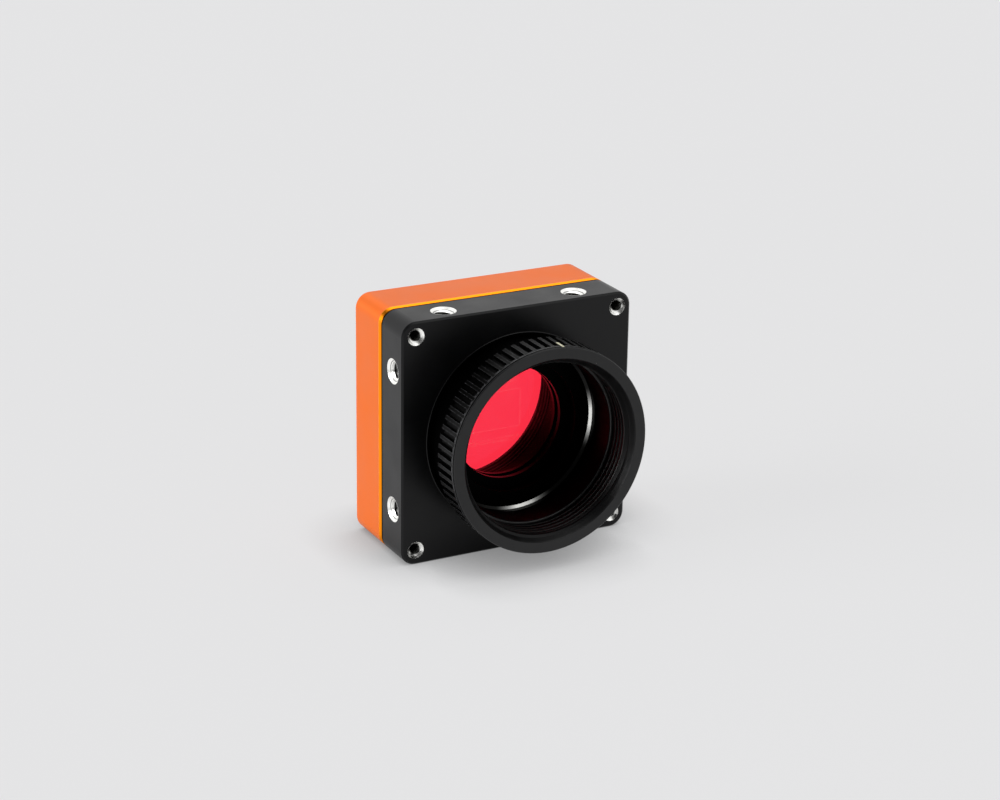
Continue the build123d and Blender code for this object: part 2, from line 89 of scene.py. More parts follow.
# How far a ridge's feet reach into its wall, half its width in pitches, and the rise of its ends per turn
FOOT_REACH = 0.01 * MILLIMETRE
HALF_RIDGE = 0.42
END_RISE = 3

# Arcs of the snap ring with a painted highlight: middle and half length, in degrees from the right, upwards
HIGHLIGHT_ARCS = ((-2, 22), (-82, 22), (150, 20))

# Near black colour of painted shade in recesses, and colours of dust on the three large pieces
SHADE_BLACK = (0.0004, 0.0004, 0.0004, 1)
HOUSING_DUST = (0.25, 0.22, 0.2, 1)
RING_DUST = (0.4, 0.38, 0.33, 1)
SHELL_DUST = (0.8, 0.7, 0.6, 1)

# The camera's sensor width in millimetres, and the distances that it sees in metres
SENSOR_WIDTH = 36
NEAREST = 0.01
FURTHEST = 20


# Sizes and colours

class ThreadSizes(bpy.types.PropertyGroup):
    lens_pitch: bpy.props.FloatProperty(
        name="Lens thread pitch", description="Advance of the lens thread in one turn",
        default=0.794 * MILLIMETRE, unit="LENGTH", subtype="DISTANCE", precision=6)
    lens_core: bpy.props.FloatProperty(
        name="Lens thread wall", description="Radius of the plain wall that carries the lens thread",
        default=12.27 * MILLIMETRE, unit="LENGTH", subtype="DISTANCE", precision=6)
    lens_ridge: bpy.props.FloatProperty(
        name="Lens thread ridge", description="Height of the lens thread's ridge on its wall",
        default=0.14 * MILLIMETRE, unit="LENGTH", subtype="DISTANCE", precision=6)
    lens_mouth: bpy.props.FloatProperty(
        name="Lens mouth", description="Radius of the lens opening at the seating face",
        default=13.1 * MILLIMETRE, unit="LENGTH", subtype="DISTANCE", precision=6)
    lens_cone: bpy.props.FloatProperty(
        name="Lens mouth depth", description="Depth of the cone that leads into the lens thread",
        default=1.4 * MILLIMETRE, unit="LENGTH", subtype="DISTANCE", precision=6)
    lens_start: bpy.props.FloatProperty(
        name="Lens thread start", description="Depth of the thread's first turn behind the seating face",
        default=0.75 * MILLIMETRE, unit="LENGTH", subtype="DISTANCE", precision=6)
    lens_end: bpy.props.FloatProperty(
        name="Lens thread end", description="Depth of the thread's last turn behind the seating face",
        default=4.7 * MILLIMETRE, unit="LENGTH", subtype="DISTANCE", precision=6)
    hole_spacing: bpy.props.FloatProperty(
        name="Side hole spacing", description="Distance between the two threaded holes of a side",
        default=20 * MILLIMETRE, unit="LENGTH", subtype="DISTANCE", precision=6)
    hole_depth_place: bpy.props.FloatProperty(
        name="Side hole place", description="Distance of the side holes behind the front face",
        default=2.8 * MILLIMETRE, unit="LENGTH", subtype="DISTANCE", precision=6)
    hole_core: bpy.props.FloatProperty(
        name="Side hole radius", description="Radius of the plain wall of a side hole",
        default=1.25 * MILLIMETRE, unit="LENGTH", subtype="DISTANCE", precision=6)
    hole_mouth: bpy.props.FloatProperty(
        name="Side hole mouth", description="Radius of a side hole's countersunk mouth",
        default=1.75 * MILLIMETRE, unit="LENGTH", subtype="DISTANCE", precision=6)
    hole_pitch: bpy.props.FloatProperty(
        name="Side hole pitch", description="Advance of a side hole's thread in one turn",
        default=0.5 * MILLIMETRE, unit="LENGTH", subtype="DISTANCE", precision=6)
    hole_ridge: bpy.props.FloatProperty(
        name="Side hole ridge", description="Height of a side hole's ridge on its wall",
        default=0.2 * MILLIMETRE, unit="LENGTH", subtype="DISTANCE", precision=6)
    hole_start: bpy.props.FloatProperty(
        name="Side hole thread start", description="Depth of the first turn in a side hole",
        default=0.3 * MILLIMETRE, unit="LENGTH", subtype="DISTANCE", precision=6)
    hole_end: bpy.props.FloatProperty(
        name="Side hole thread end", description="Depth of the last turn in a side hole",
        default=3.9 * MILLIMETRE, unit="LENGTH", subtype="DISTANCE", precision=6)
    corner_place: bpy.props.FloatProperty(
        name="Corner hole place", description="Distance of the corner holes from the axis, across and up",
        default=15.4 * MILLIMETRE, unit="LENGTH", subtype="DISTANCE", precision=6)
    corner_core: bpy.props.FloatProperty(
        name="Corner hole radius", description="Radius of the plain wall of a corner hole",
        default=0.8 * MILLIMETRE, unit="LENGTH", subtype="DISTANCE", precision=6)
    corner_mouth: bpy.props.FloatProperty(
        name="Corner hole mouth", description="Radius of a corner hole's countersunk mouth",
        default=1.22 * MILLIMETRE, unit="LENGTH", subtype="DISTANCE", precision=6)
    corner_pitch: bpy.props.FloatProperty(
        name="Corner hole pitch", description="Advance of a corner hole's thread in one turn",
        default=0.4 * MILLIMETRE, unit="LENGTH", subtype="DISTANCE", precision=6)
    corner_ridge: bpy.props.FloatProperty(
        name="Corner hole ridge", description="Height of a corner hole's ridge on its wall",
        default=0.13 * MILLIMETRE, unit="LENGTH", subtype="DISTANCE", precision=6)
    corner_start: bpy.props.FloatProperty(
        name="Corner hole thread start", description="Depth of the first turn in a corner hole",
        default=0.25 * MILLIMETRE, unit="LENGTH", subtype="DISTANCE", precision=6)
    corner_end: bpy.props.FloatProperty(
        name="Corner hole thread end", description="Depth of the last turn in a corner hole",
        default=2.4 * MILLIMETRE, unit="LENGTH", subtype="DISTANCE", precision=6)
    lock_spacing: bpy.props.FloatProperty(
        name="Lock hole spacing", description="Distance between the two plug lock holes in the back",
        default=19 * MILLIMETRE, unit="LENGTH", subtype="DISTANCE", precision=6)
    lock_height: bpy.props.FloatProperty(
        name="Lock hole height", description="Height of the plug lock holes above the optical axis",
        default=7.6 * MILLIMETRE, unit="LENGTH", subtype="DISTANCE", precision=6)


class FinishColours(bpy.types.PropertyGroup):
    black: bpy.props.FloatVectorProperty(
        name="Black anodising", description="Dyed black of the front housing",
        default=(0.0032, 0.0032, 0.0036, 1), size=4, subtype="COLOR", min=0, max=1)
    ring_black: bpy.props.FloatVectorProperty(
        name="Ring black", description="Dyed black of the lens ring",
        default=(0.0045, 0.0045, 0.005, 1), size=4, subtype="COLOR", min=0, max=1)
    orange: bpy.props.FloatVectorProperty(
        name="Orange anodising", description="Dyed orange of the rear shell",
        default=(0.97, 0.168, 0.004, 1), size=4, subtype="COLOR", min=0, max=1)
    cut_orange: bpy.props.FloatVectorProperty(
        name="Cut orange", description="Brighter orange of the bevel along the seam",
        default=(1.0, 0.29, 0.008, 1), size=4, subtype="COLOR", min=0, max=1)
    bare_metal: bpy.props.FloatVectorProperty(
        name="Bare metal", description="Cut aluminium in the threaded holes",
        default=(0.97, 0.97, 0.94, 1), size=4, subtype="COLOR", min=0, max=1)
    # Painted highlight along the shell's rounded corners
    highlight_orange: bpy.props.FloatVectorProperty(
        name="Polished orange", description="Streak along the shell's rounded corners",
        default=(1.0, 0.18, 0.01, 1), size=4, subtype="COLOR", min=0, max=1)
    # Painted highlight on the thread crests and edges in the bore of the lens ring
    crest_highlight: bpy.props.FloatVectorProperty(
        name="Thread crest", description="Paler crests and edges in the bore of the lens ring",
        default=(0.07, 0.07, 0.07, 1), size=4, subtype="COLOR", min=0, max=1)
    wire: bpy.props.FloatVectorProperty(
        name="Spring wire", description="Bright steel of the snap ring",
        default=(0.8, 0.8, 0.77, 1), size=4, subtype="COLOR", min=0, max=1)
    index_paint: bpy.props.FloatVectorProperty(
        name="Index paint", description="Pale paint in the index line",
        default=(0.82, 0.79, 0.58, 1), size=4, subtype="COLOR", min=0, max=1)
    filter_reflection: bpy.props.FloatVectorProperty(
        name="Filter reflection", description="Colour that the filter's coating reflects",
        default=(1.0, 0.028, 0.056, 1), size=4, subtype="COLOR", min=0, max=1)
    filter_pass: bpy.props.FloatVectorProperty(
        name="Filter transmission", description="Colour that the filter's coating lets through",
        default=(0.03, 0.42, 0.4, 1), size=4, subtype="COLOR", min=0, max=1)
    gold: bpy.props.FloatVectorProperty(
        name="Gold", description="Bond wires and socket contacts",
        default=(0.85, 0.62, 0.24, 1), size=4, subtype="COLOR", min=0, max=1)
    board: bpy.props.FloatVectorProperty(
        name="Circuit board", description="Solder mask of the circuit boards",
        default=(0.012, 0.11, 0.04, 1), size=4, subtype="COLOR", min=0, max=1)


class StageSettings(bpy.types.PropertyGroup):
    look_at: bpy.props.FloatVectorProperty(
        name="Look at", description="Point at the middle of the picture",
        default=(-0.00148, -0.00024, 0.02108), size=3, subtype="TRANSLATION", unit="LENGTH", precision=6)
    azimuth: bpy.props.FloatProperty(
        name="Azimuth", description="Turn of the view about the upright, seen from above",
        default=math.radians(-27.881), subtype="ANGLE", unit="ROTATION")
    elevation: bpy.props.FloatProperty(
        name="Elevation", description="Height of the view above the horizon",
        default=math.radians(20.045), subtype="ANGLE", unit="ROTATION")
    roll: bpy.props.FloatProperty(
        name="Roll", description="Tilt of the camera about its own line of sight",
        default=math.radians(0.851), subtype="ANGLE", unit="ROTATION")
    distance: bpy.props.FloatProperty(
        name="Distance", description="Distance from the camera to the point that it looks at",
        default=0.3495, unit="LENGTH", subtype="DISTANCE")
    focal_length: bpy.props.FloatProperty(
        name="Focal length", description="Focal length in millimetres on a 36 mm wide sensor", default=91.52)
    floor_size: bpy.props.FloatProperty(
        name="Floor size", description="Width of the floor", default=6.0, unit="LENGTH", subtype="DISTANCE")
    floor_colour: bpy.props.FloatVectorProperty(
        name="Floor colour", description="Pale grey of the floor and backdrop",
        default=(0.768, 0.768, 0.775, 1), size=4, subtype="COLOR", min=0, max=1)
    contact_reach: bpy.props.FloatProperty(
        name="Contact shade", description="Reach of the soft shade round the foot of the object",
        default=9.5 * MILLIMETRE, unit="LENGTH", subtype="DISTANCE", precision=6)
    contact_floor: bpy.props.FloatProperty(
        name="Contact floor", description="Share of its own paleness that the floor keeps under the object",
        default=0.22)
    lamp_share: bpy.props.FloatProperty(
        name="Lamp share", description="Share of the floor's paleness that the lamps give it", default=0.15)
    floor_glow: bpy.props.FloatProperty(
        name="Floor glow", description="Share of its paleness that the floor has of its own", default=0.889)
    side_light: bpy.props.FloatProperty(
        name="Side light", description="Strength of the soft light from the left", default=2.35)
    side_place: bpy.props.FloatVectorProperty(
        name="Side light place", description="Direction that the light from the left comes from",
        default=(-0.93, 0.12, 0.3), size=3, subtype="DIRECTION")
    side_spread: bpy.props.FloatProperty(
        name="Side light spread", description="Apparent size of the light from the left",
        default=math.radians(40), subtype="ANGLE", unit="ROTATION")
    top_light: bpy.props.FloatProperty(
        name="Top light", description="Strength of the soft light from above", default=0.9)
    top_place: bpy.props.FloatVectorProperty(
        name="Top light place", description="Direction that the light from above comes from",
        default=(0.1, 0.1, 1.0), size=3, subtype="DIRECTION")
    top_spread: bpy.props.FloatProperty(
        name="Top light spread", description="Apparent size of the light from above",
        default=math.radians(60), subtype="ANGLE", unit="ROTATION")
    sky_light: bpy.props.FloatProperty(
        name="Sky light", description="Strength of the even light from all round", default=0.32)
    mirrored_light: bpy.props.FloatProperty(
        name="Mirrored light", description="How pale glossy surfaces see the surroundings", default=0.98)
    mirrored_floor: bpy.props.FloatProperty(
        name="Mirrored floor", description="How pale glossy surfaces see the floor", default=1.13)
    dark_opening: bpy.props.FloatProperty(
        name="Dark opening", description="Paleness of the studio's dark side in a reflection", default=0.08)
    opening_place: bpy.props.FloatVectorProperty(
        name="Opening place", description="Direction of the middle of the studio's dark side",
        default=(-0.55, -0.6, 0.58), size=3, subtype="DIRECTION")
    opening_core: bpy.props.FloatProperty(
        name="Opening core", description="Angle from the middle within which the dark side is darkest",
        default=math.radians(36), subtype="ANGLE", unit="ROTATION")
    opening_edge: bpy.props.FloatProperty(
        name="Opening edge", description="Angle from the middle at which the dark side ends",
        default=math.radians(52), subtype="ANGLE", unit="ROTATION")


# Nodes

def node(tree, kind, inputs=None, **settings):
    """A new node with its settings, and its inputs set to values or linked to sockets."""
    made = tree.nodes.new(kind)
    for key, value in settings.items():
        setattr(made, key, value)
    for key, value in (inputs or {}).items():
        if isinstance(value, bpy.types.NodeSocket):
            tree.links.new(value, made.inputs[key])
        else:
            made.inputs[key].default_value = value
    return made


def calc(tree, operation, *values):
    """The result socket of one sum on sockets and numbers."""
    return node(tree, "ShaderNodeMath", dict(enumerate(values)), operation=operation).outputs[0]


def both(tree, first, second):
    return calc(tree, "MULTIPLY", first, second)


def either(tree, first, second):
    return calc(tree, "MAXIMUM", first, second)


def mix_colour(tree, share, first, second):
    made = node(tree, "ShaderNodeMix", data_type="RGBA")
    for place, value in ((0, share), (6, first), (7, second)):
        if isinstance(value, bpy.types.NodeSocket):
            tree.links.new(value, made.inputs[place])
        else:
            made.inputs[place].default_value = value
    return made.outputs[2]


def mix_number(tree, share, first, second):
    return node(tree, "ShaderNodeMix", {0: share, 2: first, 3: second}, data_type="FLOAT").outputs[0]


def grow(value, factor):
    """A colour made lighter or darker by a factor."""
    return (*[min(1.0, part * factor) for part in value[:3]], 1)


def finish(name, roughness, metallic=0.0, specular=0.5):
    """A new material with its tree and its main shader."""
    material = bpy.data.materials.new(name)
    material.use_nodes = True
    tree = material.node_tree
    shader = tree.nodes["Principled BSDF"]
    shader.inputs["Roughness"].default_value = roughness
    shader.inputs["Metallic"].default_value = metallic
    shader.inputs["Specular IOR Level"].default_value = specular
    return material, tree, shader


def coordinates(tree):
    return node(tree, "ShaderNodeTexCoord").outputs["Object"]


def parts_of(tree, vector):
    split = node(tree, "ShaderNodeSeparateXYZ", {0: vector})
    return split.outputs[0], split.outputs[1], split.outputs[2]


def noise(tree, vector, size, detail=2.0, rough=0.5):
    """Even noise whose blotches are about the given size in metres."""
    inputs = {"Vector": vector, "Scale": 1 / size, "Detail": detail, "Roughness": rough}
    return node(tree, "ShaderNodeTexNoise", inputs).outputs["Fac"]


def between(tree, value, low, high):
    """The value stretched so that low gives 0 and high gives 1, and held there beyond them."""
    return node(tree, "ShaderNodeMapRange", {0: value, 1: low, 2: high}).outputs[0]


def bump(tree, shader, height, depth):
    """A bump of the given depth in metres on the main shader."""
    inputs = {"Height": height, "Distance": depth, "Strength": 1.0}
    made = node(tree, "ShaderNodeBump", inputs)
    tree.links.new(made.outputs[0], shader.inputs["Normal"])


def link(tree, socket, shader, name):
    tree.links.new(socket, shader.inputs[name])


def all_of(tree, *shares):
    """The product of several masks."""
    product = shares[0]
    for share in shares[1:]:
        product = both(tree, product, share)
    return product


def less(tree, value, bound):
    return calc(tree, "LESS_THAN", value, bound)


def more(tree, value, bound):
    return calc(tree, "GREATER_THAN", value, bound)


def off(tree, value, middle):
    """How far a value lies from a middle, either way."""
    return calc(tree, "ABSOLUTE", calc(tree, "SUBTRACT", value, middle))


def distance(tree, first, second):
    """Length of a line from its two legs."""
    return calc(tree, "SQRT", calc(tree, "ADD", both(tree, first, first), both(tree, second, second)))


def dust(tree, vector, spacing, share, radius):
    """Scattered specks: a share of the cells of the given spacing holds a dot."""
    cells = node(tree, "ShaderNodeTexVoronoi", {"Vector": vector, "Scale": 1 / spacing})
    red = node(tree, "ShaderNodeSeparateColor", {0: cells.outputs["Color"]}).outputs[0]
    return both(tree, less(tree, red, share), less(tree, cells.outputs["Distance"], radius / spacing))


# Finishes

def tapped_walls(tree, sizes):
    """1 inside the threaded holes of the front housing and 0 elsewhere."""
    x, y, z = parts_of(tree, coordinates(tree))
    across = calc(tree, "ABSOLUTE", x)
    up = off(tree, z, AXIS_HEIGHT)
    back = calc(tree, "SUBTRACT", y, FRONT_FACE + sizes.hole_depth_place)
    mouth = sizes.hole_mouth + 0.03 * MILLIMETRE
    outside = HALF_WIDTH - SIDE_HOLE_REACH
    mask = None
    for along, out in ((across, up), (up, across)):
        radius = distance(tree, calc(tree, "SUBTRACT", along, sizes.hole_spacing / 2), back)
        inside = both(tree, less(tree, radius, mouth), more(tree, out, outside))
        mask = inside if mask is None else either(tree, mask, inside)
    corner_x = calc(tree, "SUBTRACT", across, sizes.corner_place)
    corner_z = calc(tree, "SUBTRACT", up, sizes.corner_place)
    corner = less(tree, distance(tree, corner_x, corner_z), sizes.corner_mouth)
    return either(tree, mask, corner)


def cut_metal(tree, colours):
    """Bare aluminium: bright mouths of the threaded holes, a darker line at a set depth in them, and painted
    shade further in.
    """
    dark_line_depth = 0.34 * MILLIMETRE
    dark_line_width = 0.045 * MILLIMETRE
    corner_width = 2 * MILLIMETRE
    x, y, z = parts_of(tree, coordinates(tree))
    across = calc(tree, "ABSOLUTE", x)
    up = off(tree, z, AXIS_HEIGHT)
    side_depth = calc(tree, "SUBTRACT", HALF_WIDTH, either(tree, across, up))
    front_depth = calc(tree, "SUBTRACT", y, FRONT_FACE)
    at_corner = less(tree, off(tree, across, up), corner_width)
    # A darker line at a set depth, and painted shade that darkens the metal further into each hole
    dark_line = less(tree, off(tree, side_depth, dark_line_depth), dark_line_width)
    side_deep_shade = between(tree, side_depth, 0.55 * MILLIMETRE, 0.8 * MILLIMETRE)
    corner_deep_shade = between(tree, front_depth, 0.3 * MILLIMETRE, 0.6 * MILLIMETRE)
    deep_shade = mix_number(tree, at_corner, either(tree, side_deep_shade, both(tree, dark_line, 0.75)), corner_deep_shade)
    return mix_colour(tree, deep_shade, colours.bare_metal, grow(colours.bare_metal, 0.09))


def cut_thread(colours):
    """Ridges cut in the bare aluminium of the holes, with painted shade further in."""
    material, tree, shader = finish("cut_thread", 0.3, metallic=1.0)
    link(tree, cut_metal(tree, colours), shader, "Base Color")
    grain = noise(tree, coordinates(tree), 0.2 * MILLIMETRE, 3.0)
    link(tree, mix_number(tree, grain, 0.167, 0.333), shader, "Roughness")
    bump(tree, shader, grain, 0.003 * MILLIMETRE)
    return material


def black_housing(colours, sizes):
    """Satin black anodising with painted shade in bore, barrel and seam groove, and bare metal in the tapped
    holes.
    """
    material, tree, shader = finish("black_housing", 0.36, specular=0.215)
    place = coordinates(tree)
    x, y, z = parts_of(tree, place)
    radius = distance(tree, x, calc(tree, "SUBTRACT", z, AXIS_HEIGHT))
    # Painted shade: barrel, bore and the groove at the seam are made near black and nearly metallic, so they
    # return little light
    barrel = both(tree, less(tree, radius, BARREL_REACH), less(tree, y, FRONT_FACE))
    bore = less(tree, radius, FILTER_BORE_REACH)
    groove = more(tree, y, SEAM - SEAM_GROOVE)
    painted_shade = either(tree, groove, either(tree, barrel, bore))
    bare = tapped_walls(tree, sizes)
    cloud = noise(tree, place, 4 * MILLIMETRE, 3.0)
    even = mix_colour(tree, cloud, grow(colours.black, 0.85), grow(colours.black, 1.2))
    dye_and_painted_light = mix_colour(tree, painted_shade, even, SHADE_BLACK)
    specks = dust(tree, place, 2.2 * MILLIMETRE, 0.1, 0.05 * MILLIMETRE)
    dust_and_painted_light = mix_colour(tree, both(tree, specks, 0.5), dye_and_painted_light, HOUSING_DUST)
    link(tree, mix_colour(tree, bare, dust_and_painted_light, cut_metal(tree, colours)), shader, "Base Color")
    link(tree, either(tree, bare, both(tree, painted_shade, 0.95)), shader, "Metallic")
    satin = mix_number(tree, cloud, 0.264, 0.453)
    link(tree, mix_number(tree, bare, satin, 0.3), shader, "Roughness")
    bump(tree, shader, noise(tree, place, 0.09 * MILLIMETRE), 0.002 * MILLIMETRE)
    return material


def rubbed_edges(tree, place, x, up, radius, grip):
    """1 along the two long edges of each rib of the lens ring, broken up by wear."""
    turn = calc(tree, "SUBTRACT", calc(tree, "ARCTAN2", x, up), RIB_TURN)
    ribs_passed = both(tree, turn, RIBS / (2 * math.pi))
    place_in_rib = calc(tree, "FRACT", calc(tree, "ADD", ribs_passed, RIBS + 0.5))
    edge = between(tree, off(tree, place_in_rib, 0.5), 0.13, 0.17)
    tip = between(tree, radius, RIB_TOP - 0.09 * MILLIMETRE, RIB_TOP)
    chips = between(tree, noise(tree, place, 0.25 * MILLIMETRE, 3.0, 0.7), 0.38, 0.6)
    return all_of(tree, grip, edge, tip, chips)


def black_ring(colours):
    """Turned and black anodised ring: painted shade on the grip, the mouth cone and in the bore, rubbed rib
    edges, a painted highlight on the thread crests, dust.
    """
    material, tree, shader = finish("black_ring", 0.4, specular=0.33)
    place = coordinates(tree)
    x, y, z = parts_of(tree, place)
    up = calc(tree, "SUBTRACT", z, AXIS_HEIGHT)
    radius = distance(tree, x, up)
    depth = calc(tree, "SUBTRACT", y, SEAT_FACE)
    grip = both(tree, more(tree, radius, RIB_ROOT), more(tree, depth, RIB_START))
    wear_and_highlight = rubbed_edges(tree, place, x, up, radius, grip)
    # Painted shade: the grip between its rubbed edges, part of the mouth cone and the bore, more so deeper
    # in, are made near black and nearly metallic
    past_mouth = between(tree, radius, RING_MOUTH, RING_BORE_REACH)
    cone = all_of(tree, past_mouth, 0.4, less(tree, depth, CONE_END))
    further_in = between(tree, depth, 2.5 * MILLIMETRE, 4 * MILLIMETRE)
    bore = both(tree, less(tree, radius, RING_BORE_REACH), mix_number(tree, further_in, 0.45, 0.85))
    grip_shade = both(tree, grip, calc(tree, "SUBTRACT", 0.93, wear_and_highlight))
    painted_shade = either(tree, grip_shade, either(tree, cone, bore))
    # Painted highlight: the thread crests are made paler and more metallic
    crest = both(tree, less(tree, radius, THREAD_CREST), less(tree, depth, CREST_END))
    worn = mix_colour(tree, wear_and_highlight, colours.ring_black, grow(colours.ring_black, 9.0))
    dye_and_painted_light = mix_colour(tree, crest, mix_colour(tree, painted_shade, worn, SHADE_BLACK), colours.crest_highlight)
    specks = dust(tree, place, 1.6 * MILLIMETRE, 0.12, 0.05 * MILLIMETRE)
    link(tree, mix_colour(tree, both(tree, specks, 0.8), dye_and_painted_light, RING_DUST), shader, "Base Color")
    link(tree, either(tree, painted_shade, both(tree, crest, 0.8)), shader, "Metallic")
    cloud = noise(tree, place, 1.2 * MILLIMETRE, 3.0)
    link(tree, mix_number(tree, cloud, 0.304, 0.522), shader, "Roughness")
    turning_pitch = 0.11 * MILLIMETRE
    turning = calc(tree, "SINE", both(tree, radius, 2 * math.pi / turning_pitch))
    grain = noise(tree, place, 0.07 * MILLIMETRE)
    bump(tree, shader, calc(tree, "ADD", both(tree, turning, 0.25), grain), 0.002 * MILLIMETRE)
    return material


def orange_shell(colours):
    """Satin orange anodising with a fine grain, a painted highlight and painted shade along the rounded
    corners, and a bright cut bevel along the seam.
    """
    # Slopes at which the painted highlight and the painted shade of the rounded corners are strongest
    highlight_slope = 0.36
    shade_slope = 0.72
    material, tree, shader = finish("orange_shell", 0.42, specular=0.25)
    place = coordinates(tree)
    x, y, z = parts_of(tree, place)
    out = either(tree, calc(tree, "ABSOLUTE", x), off(tree, z, AXIS_HEIGHT))
    outer = more(tree, out, HALF_WIDTH - BEVEL_REACH)
    bevel = both(tree, outer, less(tree, y, SEAM + SHELL_BEVEL))
    cloud = noise(tree, place, 6 * MILLIMETRE, 3.0)
    dye_and_painted_light = mix_colour(tree, cloud, grow(colours.orange, 0.96), grow(colours.orange, 1.03))
    specks = dust(tree, place, 3 * MILLIMETRE, 0.08, 0.04 * MILLIMETRE)
    dust_and_painted_light = mix_colour(tree, both(tree, specks, 0.4), dye_and_painted_light, SHELL_DUST)
    # Painted highlight and painted shade on the rounded corners, placed by how steeply the surface faces up
    # or down
    facing = parts_of(tree, node(tree, "ShaderNodeTexCoord").outputs["Normal"])
    slope = calc(tree, "ABSOLUTE", facing[2])
    corner_highlight = between(tree, off(tree, slope, highlight_slope), 0.14, 0.03)
    shade = between(tree, off(tree, slope, shade_slope), 0.22, 0.05)
    with_shade = mix_colour(tree, shade, dust_and_painted_light, grow(colours.orange, 0.9))
    with_highlight = mix_colour(tree, corner_highlight, with_shade, colours.highlight_orange)
    link(tree, mix_colour(tree, bevel, with_highlight, colours.cut_orange), shader, "Base Color")
    link(tree, either(tree, bevel, both(tree, shade, 0.6)), shader, "Metallic")
    satin = mix_number(tree, cloud, 0.304, 0.522)
    link(tree, mix_number(tree, bevel, satin, 0.3), shader, "Roughness")
    ramp = both(tree, between(tree, y, SEAM, SEAM + MILLIMETRE), bevel)
    grain = both(tree, noise(tree, place, 0.08 * MILLIMETRE), 0.0015)
    bump(tree, shader, calc(tree, "ADD", both(tree, ramp, 0.8), grain), MILLIMETRE)
    return material


def filter_coating(colours):
    """Coated glass that mirrors red and lets the rest through."""
    material, tree, shader = finish("filter_coating", 0.02, metallic=1.0)
    place = coordinates(tree)
    haze = noise(tree, place, 1.5 * MILLIMETRE, 3.0)
    colour = mix_colour(tree, haze, colours.filter_reflection, grow(colours.filter_reflection, 1.15))
    link(tree, colour, shader, "Base Color")
    passing = node(tree, "ShaderNodeBsdfTransparent", {"Color": colours.filter_pass})
    total = node(tree, "ShaderNodeAddShader", {0: shader.outputs[0], 1: passing.outputs[0]})
    tree.links.new(total.outputs[0], tree.nodes["Material Output"].inputs["Surface"])
    return material


def spring_wire(colours):
    """Spring steel with painted highlights along three arcs, and painted shade, a small share of its colour,
    elsewhere.
    """
    material, tree, shader = finish("spring_wire", 0.3, metallic=1.0)
    place = coordinates(tree)
    x, _, z = parts_of(tree, place)
    turn = calc(tree, "ARCTAN2", calc(tree, "SUBTRACT", z, AXIS_HEIGHT), x)
    # Painted highlight along the arcs; the rest of the wire gets painted shade
    wear_and_highlight = 0.0
    for middle, reach in HIGHLIGHT_ARCS:
        away = off(tree, turn, math.radians(middle))
        near = between(tree, away, math.radians(reach), math.radians(reach / 4))
        wear_and_highlight = either(tree, wear_and_highlight, both(tree, near, near))
    grain = noise(tree, place, 0.4 * MILLIMETRE, 3.0)
    bright = mix_colour(tree, grain, grow(colours.wire, 0.88), grow(colours.wire, 1.08))
    link(tree, mix_colour(tree, wear_and_highlight, grow(colours.wire, 0.015), bright), shader, "Base Color")
    link(tree, mix_number(tree, grain, 0.167, 0.333), shader, "Roughness")
    bump(tree, shader, grain, 0.004 * MILLIMETRE)
    return material


def metal(name, colour, roughness, grain):
    """Bright metal with fine drawn or plated grain of the given size."""
    material, tree, shader = finish(name, roughness, metallic=1.0)
    place = coordinates(tree)
    cloud = noise(tree, place, grain, 3.0)
    link(tree, mix_colour(tree, cloud, grow(colour, 0.88), grow(colour, 1.08)), shader, "Base Color")
    link(tree, mix_number(tree, cloud, roughness * 0.8, roughness * 1.2), shader, "Roughness")
    bump(tree, shader, cloud, grain / 60)
    return material


def moulded(name, colour, roughness, grain):
    """Moulded plastic, rubber or fired ceramic with a fine grain."""
    material, tree, shader = finish(name, roughness, specular=0.4)
    place = coordinates(tree)
    cloud = noise(tree, place, grain, 3.0)
    link(tree, mix_colour(tree, cloud, grow(colour, 0.88), grow(colour, 1.12)), shader, "Base Color")
    link(tree, mix_number(tree, cloud, roughness * 0.8, roughness * 1.2), shader, "Roughness")
    bump(tree, shader, cloud, grain / 40)
    return material


def clear(name, tint):
    """Clear glass or plastic, with faint waviness."""
    material, tree, shader = finish(name, 0.03)
    shader.inputs["Transmission Weight"].default_value = 1.0
    shader.inputs["IOR"].default_value = 1.5
    place = coordinates(tree)
    wave = noise(tree, place, 2 * MILLIMETRE)
    link(tree, mix_colour(tree, wave, grow(tint, 0.97), tint), shader, "Base Color")
    return material


def silicon():
    """Sensor chip: a dark pixel field inside a paler frame of tracks, with a painted glow on the border line.
    """
    material, tree, shader = finish("silicon", 0.12, metallic=0.6)
    x, _, z = parts_of(tree, coordinates(tree))
    across = calc(tree, "ABSOLUTE", x)
    up = off(tree, z, AXIS_HEIGHT)
    half_field = Vector((4.35 * MILLIMETRE, 2.75 * MILLIMETRE))
    line = 0.07 * MILLIMETRE
    outside_field = either(tree, more(tree, across, half_field.x), more(tree, up, half_field.y))
    past_line = either(tree, more(tree, across, half_field.x + line), more(tree, up, half_field.y + line))
    border = calc(tree, "SUBTRACT", outside_field, past_line)
    frame_colour = mix_colour(tree, outside_field, (0.012, 0.016, 0.02, 1), (0.05, 0.06, 0.065, 1))
    link(tree, mix_colour(tree, border, frame_colour, (0.35, 0.38, 0.36, 1)), shader, "Base Color")
    painted_glow(tree, shader, border)
    return material


def painted_glow(tree, shader, share):
    """A painted glow that makes the sensor's bright edges show through the filter."""
    shader.inputs["Emission Color"].default_value = (0.8, 0.9, 0.9, 1)
    link(tree, both(tree, share, 0.3), shader, "Emission Strength")


def bond_wire(colours):
    """Bright gold wires along the edges of the chip, with a painted glow in patches."""
    material = metal("bond_wire", colours.gold, 0.2, 0.1 * MILLIMETRE)
    tree = material.node_tree
    grain = noise(tree, coordinates(tree), 0.6 * MILLIMETRE)
    painted_glow(tree, tree.nodes["Principled BSDF"], between(tree, grain, 0.45, 0.6))
    return material


